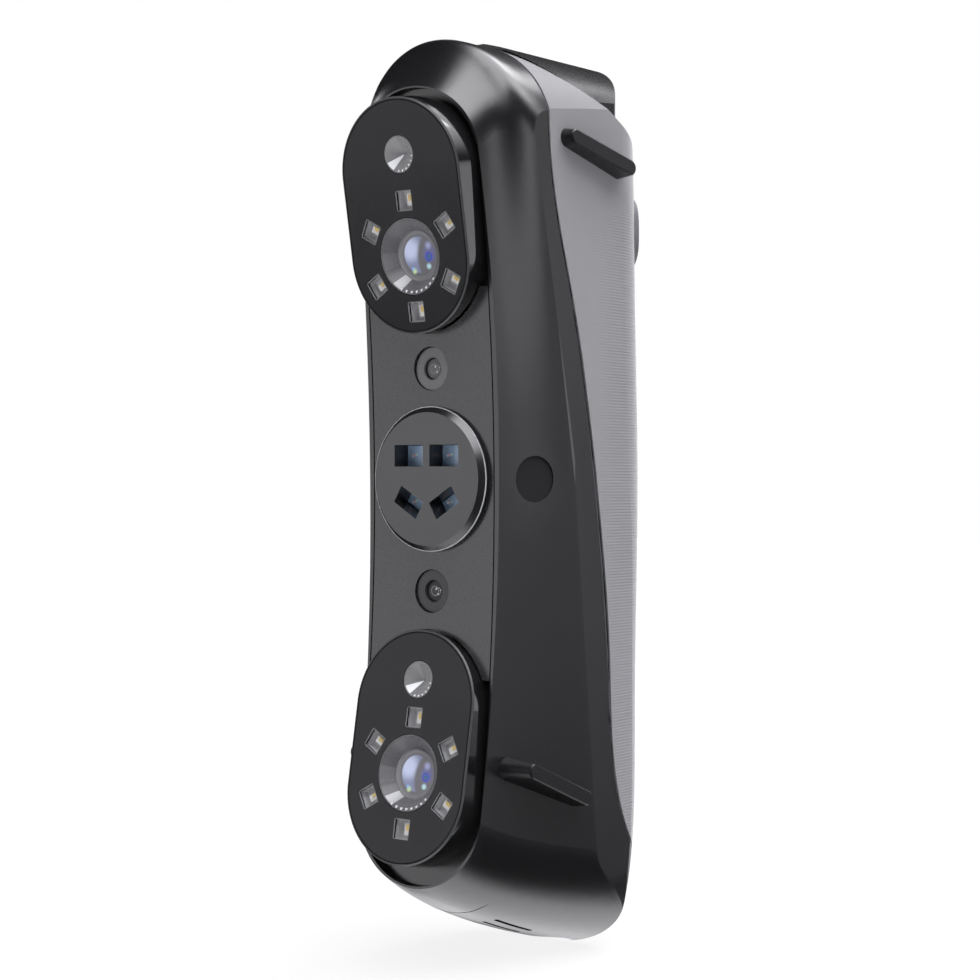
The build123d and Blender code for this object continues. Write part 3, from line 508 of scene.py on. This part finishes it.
def close_rows(mesh, rows):
    """Joins neighbouring rows into closed runs; None ends a run."""
    before = None
    for row in [*rows, None]:
        if before and row:
            join(mesh, before, row)
        elif row:
            mesh.faces.new(row)
        elif before:
            mesh.faces.new(before)
        before = row


def facets(*sectors):
    """A look for each angle: the number of the sector that holds it, from 1, or else 0."""
    def look_at(turn):
        for number, (first, last) in enumerate(sectors, 1):
            if first < turn < last:
                return number
        return 0
    return look_at


def spin(mesh, profile, steps, look_at=facets()):
    """A turned ring through a closed profile of radius and height."""
    rows = []
    for step in range(steps):
        turn = math.radians(360.0 * step / steps)
        rows.append([mesh.verts.new((radius * math.cos(turn), radius * math.sin(turn), height))
                     for radius, height in profile])
    join_round(mesh, rows, look_at)


def block(mesh, centre, size, turn=0.0, look=0, taper=1.0):
    """A small block, its top drawn in by a taper, turned about the face's normal."""
    corners = []
    for level, pull in ((-0.5, 1.0), (0.5, taper)):
        for side_x, side_y in ((-1, -1), (1, -1), (1, 1), (-1, 1)):
            x, y = side_x * size[0] / 2 * pull, side_y * size[1] / 2 * pull
            corners.append(mesh.verts.new((
                centre[0] + x * math.cos(turn) - y * math.sin(turn),
                centre[1] + x * math.sin(turn) + y * math.cos(turn), centre[2] + level * size[2])))
    for ids in ((3, 2, 1, 0), (4, 5, 6, 7), (0, 1, 5, 4), (1, 2, 6, 5), (2, 3, 7, 6), (3, 0, 4, 7)):
        mesh.faces.new([corners[index] for index in ids]).material_index = look


def teeth(mesh, radius, height, first, last, count, size, look):
    """Serrations round a rim from one angle to another, each one a tapered block."""
    for index in range(count):
        turn = math.radians(first + (last - first) * index / (count - 1))
        block(mesh, (radius * math.cos(turn), radius * math.sin(turn), height), size, turn, look, 0.6)


def dome(mesh, radius, height, rise, back, steps):
    """A domed disc with a flat back; height is that of its middle."""
    rows = []
    for ring in range(1, DOME_RINGS + 1):
        share = ring / DOME_RINGS
        rows.append([mesh.verts.new((radius * share * math.cos(2 * math.pi * step / steps),
                                     radius * share * math.sin(2 * math.pi * step / steps),
                                     height - rise * share ** 2)) for step in range(steps)])
    middle = mesh.verts.new((0.0, 0.0, height))
    rows.append([mesh.verts.new((vert.co.x, vert.co.y, height - rise - back)) for vert in rows[-1]])
    for step in range(steps):
        mesh.faces.new((middle, rows[0][step], rows[0][(step + 1) % steps]))
    for here, there in zip(rows, rows[1:]):
        join(mesh, here, there)
    mesh.faces.new(rows[-1])


# ---- pods: lens, flash, lights and the edge of the face ------------------------------------------------
POD_LEAN = math.radians(10.0)
# For each pod: the depth and height of its middle, the way that it leans, and how far its lens sits
# above the middle and its flash above the lens.
PODS = (("upper", -9.74, 59.85, 1, -9.2, 23.2), ("lower", -8.0, -61.2, -1, -5.9, 21.4))
POD_MIDDLE = -0.5       # of the long face's width
POD_STRAIGHT = 9.5      # half of its straight length
POD_STEPS = 96
LENS_RADIUS = 8.75
LENS_SEAT_RADIUS = 6.1
LENS_SEAT_DEPTH = 3.0
FLASH_RADIUS = 4.2
FLASH_DEPTH = 2.4
LED_CIRCLE = 12.7
LED_SIZE = 4.7
LED_COUNT = 6

# closed profiles, as radius and height over the face
LENS_CONE = ((LENS_RADIUS - 0.42, 0.0), (LENS_SEAT_RADIUS - 0.1, -LENS_SEAT_DEPTH + 0.1),
             (LENS_SEAT_RADIUS - 0.1, -LENS_SEAT_DEPTH - 0.05), (LENS_RADIUS - 0.38, -0.12))
LENS_RIM = ((LENS_RADIUS - 0.1, -0.02), (LENS_RADIUS - 0.02, 0.06), (LENS_RADIUS - 0.32, 0.06),
            (LENS_RADIUS - 0.36, -0.02))
FLASH_CUP = ((FLASH_RADIUS - 0.34, 0.0), (0.25, -FLASH_DEPTH + 0.15), (0.25, -FLASH_DEPTH - 0.1),
             (FLASH_RADIUS - 0.3, -0.14))
POD_CHAMFER = ((17.1, -0.1), (17.22, -0.006), (17.514, -0.286), (17.4, -0.4))
WINDOW_JOINT = ((16.7, -0.05), (16.7, 0.01), (16.98, 0.01), (16.98, -0.05))
# angles, in degrees, of the painted highlight and the fainter painted highlight on a cone's facets, and of
# the painted highlight on a cup's facet
CONE_FACETS = facets((222.0, 246.0), (172.0, 200.0))
CUP_FACETS = facets((205.0, 238.0))
# serrations of the cone and the cup; their look is a painted glint
CONE_TEETH = dict(radius=LENS_RADIUS - 0.5, height=-0.1, first=243.0, last=318.0, count=8,
                  size=(0.75, 0.5, 0.3), look=3)
CUP_TEETH = dict(radius=FLASH_RADIUS - 0.4, height=-0.1, first=262.0, last=350.0, count=6,
                 size=(0.6, 0.45, 0.25), look=2)
LENS_GAP = 0.08
LENS_STAND = 0.2        # of the front lens's middle, over its seat
LENS_RISE = 0.12
LENS_BACK = 1.2
# edges, pale with a painted highlight, and chips of the light windows; the chips' places are from each
# window's middle
CELL_EDGE = (0.16, LED_SIZE - 0.1, 0.24)
CELL_EDGE_INSET = 0.09
CELL_EDGE_HEIGHT = -0.18
CHIP_PLACE = Vector((0.75, 0.1, -1.75))
CHIP_SIZE = (1.7, 2.9, 1.0)
PHOSPHOR_PLACE = Vector((0.9, 0.5, -1.2))
PHOSPHOR_SIZE = (0.9, 1.5, 0.16)


def face_frame(depth, z, way, rise):
    """The frame on a pod's face, z outwards and y up the face, at a height above its middle."""
    lean = POD_LEAN * way
    outward = Vector((0.0, -math.cos(lean), -math.sin(lean)))
    upward = Vector((0.0, -math.sin(lean), math.cos(lean)))
    turned = Matrix((Vector((1.0, 0.0, 0.0)), upward, outward)).transposed().to_4x4()
    return Matrix.Translation(at(0.0, depth, z) + upward * rise / 1000) @ turned


def long_ring(mesh, profile, place, look):
    """A ring round the pod's long face, through a closed profile of reach and height."""
    rows = []
    for step in range(POD_STEPS):
        turn = 2 * math.pi * (step + 0.5) / POD_STEPS
        shift = math.copysign(POD_STRAIGHT, math.sin(turn))
        row = []
        for reach, height in profile:
            point = Vector((POD_MIDDLE + reach * math.cos(turn), shift + reach * math.sin(turn), height))
            row.append(mesh.verts.new((place @ (point / 1000) - at(0, 0, 0)) * 1000))
        rows.append(row)
    join_round(mesh, rows, lambda turn: look)


def lens_front(name, radius):
    """Coated front lens, painted: pale lip and grey glass, with painted reflections in the coating (a
    blue-white crescent, a violet crescent with a paler spot, a blue ring) and small painted glints.
    """
    material, tree, main = shader(name)
    link = tree.links.new
    place = add(tree, "ShaderNodeTexCoord").outputs["Object"]
    flat = add(tree, "ShaderNodeVectorMath", operation="MULTIPLY")
    flat.inputs[1].default_value = (1000 / radius, 1000 / radius, 0.0)
    link(place, flat.inputs[0])

    def inside(centre, size, soft):
        """1 inside a circle, in shares of the lens's radius."""
        away = add(tree, "ShaderNodeVectorMath", operation="DISTANCE")
        away.inputs[1].default_value = (*centre, 0.0)
        link(flat.outputs["Vector"], away.inputs[0])
        return ramp(tree, away.outputs["Value"], size - soft, size + soft, 1.0, 0.0, smooth=True)

    def outside(centre, size, soft):
        """1 outside a circle."""
        flip = add(tree, "ShaderNodeMath", operation="SUBTRACT")
        flip.inputs[0].default_value = 1.0
        link(inside(centre, size, soft), flip.inputs[1])
        return flip.outputs["Value"]

    def over(under, mask, colour):
        """A colour laid over another one through a mask."""
        layer = add(tree, "ShaderNodeMix", data_type="RGBA")
        link(mask, layer.inputs["Factor"])
        link(under, layer.inputs["A"])
        layer.inputs["B"].default_value = (*colour, 1.0)
        return layer.outputs["Result"]

    noise = noise_at(tree, place, 420.0, 2.0)
    ground = add(tree, "ShaderNodeMix", data_type="RGBA")
    ground.inputs["A"].default_value = (0.20, 0.198, 0.206, 1.0)
    ground.inputs["B"].default_value = (0.24, 0.238, 0.248, 1.0)
    link(noise, ground.inputs["Factor"])
    colour = over(ground.outputs["Result"], outside((0.07, 0.05), 0.96, 0.02), (0.34, 0.34, 0.35))
    eye = inside((0.04, 0.0), 0.80, 0.05)
    colour = over(colour, eye, (0.165, 0.163, 0.175))
    # painted reflection: a blue-white crescent, brightest towards the upper left
    crescent_reflection = times(tree, eye, inside((0.02, 0.02), 0.68, 0.03))
    crescent_reflection = times(tree, crescent_reflection, outside((1.30, -0.16), 1.32, 0.10))
    colour = over(colour, crescent_reflection, (0.26, 0.29, 0.44))
    colour = over(colour, times(tree, crescent_reflection, inside((-0.36, 0.26), 0.42, 0.24)), (0.62, 0.68, 0.90))
    # painted reflection: a violet crescent on the right, and a paler spot above it
    violet_reflection = times(tree, inside((0.58, 0.02), 0.30, 0.14), eye)
    colour = over(colour, violet_reflection, (0.17, 0.17, 0.34))
    colour = over(colour, inside((0.54, 0.34), 0.12, 0.10), (0.42, 0.44, 0.70))
    # painted reflection: a blue ring
    blue_ring_reflection = times(tree, inside((0.52, -0.08), 0.17, 0.05), outside((0.52, -0.08), 0.09, 0.04))
    colour = over(colour, blue_ring_reflection, (0.06, 0.10, 0.55))
    # painted glints, one in the blue ring and three near the bottom
    for centre, size, soft, glint in (((0.52, -0.08), 0.07, 0.03, (0.04, 0.16, 0.26)),
                                      ((-0.24, -0.58), 0.10, 0.06, (0.62, 0.80, 0.42)),
                                      ((-0.30, -0.50), 0.06, 0.04, (0.30, 0.55, 0.92)),
                                      ((0.48, -0.44), 0.10, 0.06, (0.55, 0.80, 0.85))):
        colour = over(colour, inside(centre, size, soft), glint)
    link(colour, main.inputs["Base Color"])
    link(from_noise(tree, noise, 0.05, 0.08), main.inputs["Roughness"])
    main.inputs["Specular IOR Level"].default_value = 0.3
    return material


def lens_pieces(pod, place):
    """The faceted cone with a painted highlight on two facets and painted glints on its serrations, the
    thin rim round it, and the front lens.
    """
    cone = bmesh.new()
    spin(cone, LENS_CONE, 90, CONE_FACETS)
    teeth(cone, **CONE_TEETH)
    piece_of(f"{pod}_lens_cone", cone, ("cone_clear", "facet_highlight", "facet_faint_highlight", "glint_white"), place)
    rim = bmesh.new()
    spin(rim, LENS_RIM, 72)
    piece_of(f"{pod}_lens_rim", rim, ("cone_clear",), place, smooth=True)
    front = bmesh.new()
    dome(front, LENS_SEAT_RADIUS - LENS_GAP, -LENS_SEAT_DEPTH + LENS_STAND, LENS_RISE, LENS_BACK, 48)
    lens = piece_of(f"{pod}_lens_front", front, ("lens_front",), place, smooth=True)
    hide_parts(f"{pod}_lens_glass")


def flash_piece(pod, place):
    """The lining of the small conical reflector, with a painted highlight on one facet and painted glints
    on its serrations.
    """
    cup = bmesh.new()
    spin(cup, FLASH_CUP, 72, CUP_FACETS)
    teeth(cup, **CUP_TEETH)
    piece_of(f"{pod}_flash_liner", cup, ("cup_clear", "glint_white", "glint_white"), place)


def light_pieces(pod, place):
    """Thin edges round the square windows, pale with a painted highlight, and the chips in their cells."""
    cells = bmesh.new()
    chips = bmesh.new()
    for index in range(LED_COUNT):
        angle = 2 * math.pi * index / LED_COUNT
        middle = Vector((-LED_CIRCLE * math.sin(angle), LED_CIRCLE * math.cos(angle), 0.0))
        for side in range(4):
            way = angle + side * math.pi / 2
            edge = Vector((math.cos(way), math.sin(way), 0.0)) * (LED_SIZE / 2 - CELL_EDGE_INSET)
            block(cells, middle + edge + Vector((0.0, 0.0, CELL_EDGE_HEIGHT)), CELL_EDGE, way, 0, 0.9)
        block(chips, middle + CHIP_PLACE, CHIP_SIZE, angle, 0, 0.92)
        block(chips, middle + PHOSPHOR_PLACE, PHOSPHOR_SIZE, angle, 1, 0.9)
    piece_of(f"{pod}_light_edges", cells, ("edge_highlight",), place)
    lights = piece_of(f"{pod}_light_chips", chips, ("chip_white", "phosphor"), place)
    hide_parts(f"{pod}_led_chips")


def face_ring(pod, place):
    """The chamfer of the housing, pale with a painted highlight, and the dark joint round the window plate.
    """
    ring = bmesh.new()
    long_ring(ring, POD_CHAMFER, place, 0)
    long_ring(ring, WINDOW_JOINT, place, 1)
    piece_of(f"{pod}_face_ring", ring, ("bevel_highlight", "gasket_black"), ORIGIN)


LOOKS["lens_front"] = lens_front("lens_front", LENS_SEAT_RADIUS)
for pod_name, depth, z, way, lens_rise, flash_rise in PODS:
    lens_place = face_frame(depth, z, way, lens_rise)
    lens_pieces(pod_name, lens_place)
    flash_piece(pod_name, face_frame(depth, z, way, lens_rise + flash_rise))
    face_ring(pod_name, face_frame(depth, z, way, 0.0))
    light_pieces(pod_name, lens_place)

# ---- front sensors: a ring with a painted highlight and a small lens with painted glints in each dish ---
SENSOR_BEZEL = ((2.55, 0.05), (2.55, -0.3), (2.35, -0.3), (2.35, 0.05))
SENSOR_RING = ((1.15, 0.1), (1.15, -0.3), (1.0, -0.3), (1.0, 0.1))
SENSOR_EYE_RADIUS = 2.3
# the marks are painted glints
SENSOR_MARKS = 7        # small marks round a circle beside the eye's middle
SENSOR_MARK_MIDDLE = Vector((0.9, 0.0, 0.0))
SENSOR_MARK_CIRCLE = 0.75
TO_FRONT = Matrix.Rotation(math.pi / 2, 4, "X")

for sensor_name, look in (("upper", "ring_grey"), ("lower", "ring_dark")):
    low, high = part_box(f"{sensor_name}_sensor_lens")
    place = Matrix.Translation(((low.x + high.x) / 2, low.y, (low.z + high.z) / 2)) @ TO_FRONT
    bezel = bmesh.new()
    spin(bezel, SENSOR_BEZEL, 48)
    spin(bezel, SENSOR_RING, 32, lambda turn: 1)
    piece_of(f"{sensor_name}_sensor_bezel", bezel, ("plug_dark", "edge_highlight"), place)
    eye = bmesh.new()
    dome(eye, SENSOR_EYE_RADIUS, 0.0, rise=0.25, back=0.3, steps=40)
    for index in range(SENSOR_MARKS):
        angle = math.radians(-100 + 40 * index)
        spot = Vector((math.cos(angle), math.sin(angle), 0.0)) * SENSOR_MARK_CIRCLE + SENSOR_MARK_MIDDLE
        size = (0.34, 0.3 if index % 2 else 0.55, 0.16)
        block(eye, spot, size, angle, 1 if index % 3 else 2, 0.7)
    piece_of(f"{sensor_name}_sensor_front", eye, (look, "edge_highlight", "glint_white"), place)

# ---- laser head: small painted glints on the filter panes ----------------------------------------------
PANE_FRONT = 2.2
GLINT_STAND = 0.04
BEAM_SPREAD = 5.3
BEAM_HEIGHT = 5.4
GLINT_SHIFT = -2.1      # of the three glints, from the window's middle
GLINT_SLOPE = 0.14

glints = bmesh.new()
for x, z in ((-BEAM_SPREAD, BEAM_HEIGHT), (BEAM_SPREAD, BEAM_HEIGHT),
             (-BEAM_SPREAD, -BEAM_HEIGHT), (BEAM_SPREAD, -BEAM_HEIGHT)):
    for look, (shift, width) in enumerate(((-0.55, 0.8), (0.05, 0.8), (0.6, 0.7))):
        spot = (x + GLINT_SHIFT + shift, z + GLINT_SLOPE * look, 0.0)
        block(glints, spot, (width, 0.62, 0.1), 0.3, look, 0.5)
piece_of("beam_glints", glints, ("glint_white", "glint_pink", "glint_green"),
         Matrix.Translation(at(0.0, PANE_FRONT - GLINT_STAND, 0.0)) @ TO_FRONT)

# ---- hood: its rear wall, and the ledge between it and the sleeve's edge -------------------------------
HOOD_ROUND_DEPTH = 31.3
HOOD_ROUND_RADIUS = 24.0
HOOD_ROUND_REACH = 80   # degrees to either side
HOOD_STEP = 2
HOOD_REACH = 40         # the longest way up that is measured
LEDGE_REACH = 12
HOOD_WALL = 1.5
WALL_INSET = 0.05
WALL_FOOT = 1.0         # below the sleeve's edge
WALL_START = 0.6        # above it, where the way up to the hood's top is measured
WALL_SINK = 0.7         # into the hood's top
LEDGE_WALL = 1.2
LEDGE_DROP = 0.15       # below the sleeve's edge
LEDGE_LAP = 0.6         # into the hood's rear wall
LEDGE_SINK = 0.4        # into the core's wall
LEDGE_START = 3.2       # below the sleeve's edge, where the way out to the core's wall is measured
SLEEVE_TOP = 99.8
SLEEVE_TOP_DEPTH = 12.0
SLEEVE_TOP_SLOPE = math.tan(math.radians(25.0))


def tree_of(node):
    """A search tree over a node's faces, in metres."""
    data = nodes[node].data
    return BVHTree.FromPolygons([vert.co for vert in data.vertices],
                                [tuple(face.vertices) for face in data.polygons])


def free_run(tree, start, way, reach):
    """How far a ray runs in open space before it meets the solid, in mm, or None."""
    place, normal, _, away = tree.ray_cast(at(*start), Vector(way), reach / 1000)
    if place is None or normal.dot(Vector(way)) > 0:
        return None
    return away * 1000


def sleeve_edge(y):
    """The height of the sleeve's top edge at a depth."""
    return SLEEVE_TOP - (y - SLEEVE_TOP_DEPTH) * SLEEVE_TOP_SLOPE


def hood_place(ahead, radius, height):
    """A place at a radius from the middle of the hood's rounding."""
    return (radius * ahead[0], HOOD_ROUND_DEPTH + radius * ahead[1], height)


def wall_row(mesh, tree, ahead, low):
    """The four points of the rear wall's section, or None where the hood isn't above it."""
    start = hood_place(ahead, HOOD_ROUND_RADIUS - HOOD_WALL / 2, low + WALL_START)
    rise = free_run(tree, start, (0, 0, 1), HOOD_REACH)
    if rise is None:
        return None
    foot, top = low - WALL_FOOT, low + WALL_START + rise + WALL_SINK
    outer, inner = HOOD_ROUND_RADIUS - WALL_INSET, HOOD_ROUND_RADIUS - HOOD_WALL
    return [mesh.verts.new(hood_place(ahead, radius, height))
            for radius, height in ((outer, foot), (outer, top), (inner, top), (inner, foot))]


def ledge_row(mesh, tree, ahead, low):
    """The four points of the ledge's section, or None where the core's wall isn't met."""
    run = free_run(tree, hood_place(ahead, HOOD_ROUND_RADIUS, low - LEDGE_START), (*ahead, 0), LEDGE_REACH)
    if run is None:
        return None
    near, far = HOOD_ROUND_RADIUS - LEDGE_LAP, HOOD_ROUND_RADIUS + run + LEDGE_SINK
    row = []
    for radius, drop in ((near, 0.0), (far, 0.0), (far, LEDGE_WALL), (near, LEDGE_WALL)):
        x, y, _ = hood_place(ahead, radius, 0)
        row.append(mesh.verts.new((x, y, sleeve_edge(y) - LEDGE_DROP - drop)))
    return row


core_tree = tree_of("rear_core")
wall = bmesh.new()
ledge = bmesh.new()
wall_rows, ledge_rows = [], []
for degrees in range(-HOOD_ROUND_REACH, HOOD_ROUND_REACH + 1, HOOD_STEP):
    ahead = (math.sin(math.radians(degrees)), math.cos(math.radians(degrees)))
    low = sleeve_edge(hood_place(ahead, HOOD_ROUND_RADIUS - HOOD_WALL / 2, 0)[1])
    wall_rows.append(wall_row(wall, core_tree, ahead, low))
    ledge_rows.append(ledge_row(ledge, core_tree, ahead, low))
close_rows(wall, wall_rows)
close_rows(ledge, ledge_rows)
piece_of("hood_rear_wall", wall, ("core_black",), ORIGIN)
piece_of("hood_ledge", ledge, ("core_black",), ORIGIN)

# ---- shell: the dark line along the seam with a painted highlight on its bevel, and the joint line on the heel ---
LINE_STEPS = 6          # to each stretch between two points
LINE_LIFT = 0.02
LINE_SINK = 0.12
FLANK = 25.2
SEAM_LINE_INSET = 0.12
SEAM_BEVEL_INSET = 0.75
SEAM_BEVEL_FIRST = 3    # the point of the seam where the bevel starts
# depth and height along the seam, from the crown down
SEAM = ((12.0, 84.0), (16.6, 60.0), (21.9, 39.0), (26.6, 18.0), (30.7, 0.0), (34.2, -21.0), (36.8, -42.0),
        (39.2, -60.0), (41.9, -78.0))
# half of the joint on the heel, from its middle outwards
HEEL_JOINT = ((2.5, 5.8, -100.8), (6.1, 6.1, -100.1), (9.2, 6.1, -98.8), (11.3, 6.4, -97.7))


def surface_line(mesh, tree, points, width, look):
    """A thin ribbon with tapered ends, along points that are first put onto the surface."""
    path = [Vector(first).lerp(Vector(second), step / LINE_STEPS)
            for first, second in zip(points, points[1:]) for step in range(LINE_STEPS)]
    found = []
    for point in [*path, Vector(points[-1])]:
        place, normal, _, _ = tree.find_nearest(at(*point))
        found.append(((place - at(0, 0, 0)) * 1000, normal.copy()))
    last = len(found) - 1
    rows = []
    for index, (place, normal) in enumerate(found):
        ahead = found[min(index + 1, last)][0] - found[max(index - 1, 0)][0]
        taper = max(0.2, min(1.0, index / LINE_STEPS, (last - index) / LINE_STEPS))
        side = normal.cross(ahead).normalized() * width / 2 * taper
        rows.append([mesh.verts.new(place + offset + normal * level) for offset, level in (
            (-side, -LINE_SINK), (side, -LINE_SINK), (side * 0.85, LINE_LIFT), (-side * 0.85, LINE_LIFT))])
    for here, there in zip(rows, rows[1:]):
        join(mesh, here, there, look)
    for row in (rows[0], rows[-1]):
        mesh.faces.new(row).material_index = look


shell_tree = tree_of("front_shell")
trim = bmesh.new()
for side in (-1, 1):
    surface_line(trim, shell_tree, [(side * FLANK, y - SEAM_LINE_INSET, z) for y, z in SEAM], 0.32, 0)
    # a painted highlight along the seam's bevel
    seam_highlight = [(side * FLANK, y - SEAM_BEVEL_INSET, z) for y, z in SEAM[SEAM_BEVEL_FIRST:]]
    surface_line(trim, shell_tree, seam_highlight, 0.6, 1)
surface_line(trim, shell_tree, [*((-x, y, z) for x, y, z in reversed(HEEL_JOINT)), *HEEL_JOINT], 0.3, 0)
piece_of("shell_trim", trim, ("gasket_black", "bevel_highlight"), ORIGIN)

# ---- laser head: its rim, a pale ring with a painted highlight -----------------------------------------
HEAD_RIM = ((16.46, 1.14), (16.74, 1.06), (16.76, 1.26), (16.54, 1.34))
head_rim = bmesh.new()
spin(head_rim, HEAD_RIM, 96)
piece_of("head_rim", head_rim, ("rim_highlight",), face_frame(0.0, 0.0, 0, 0.0), smooth=True)
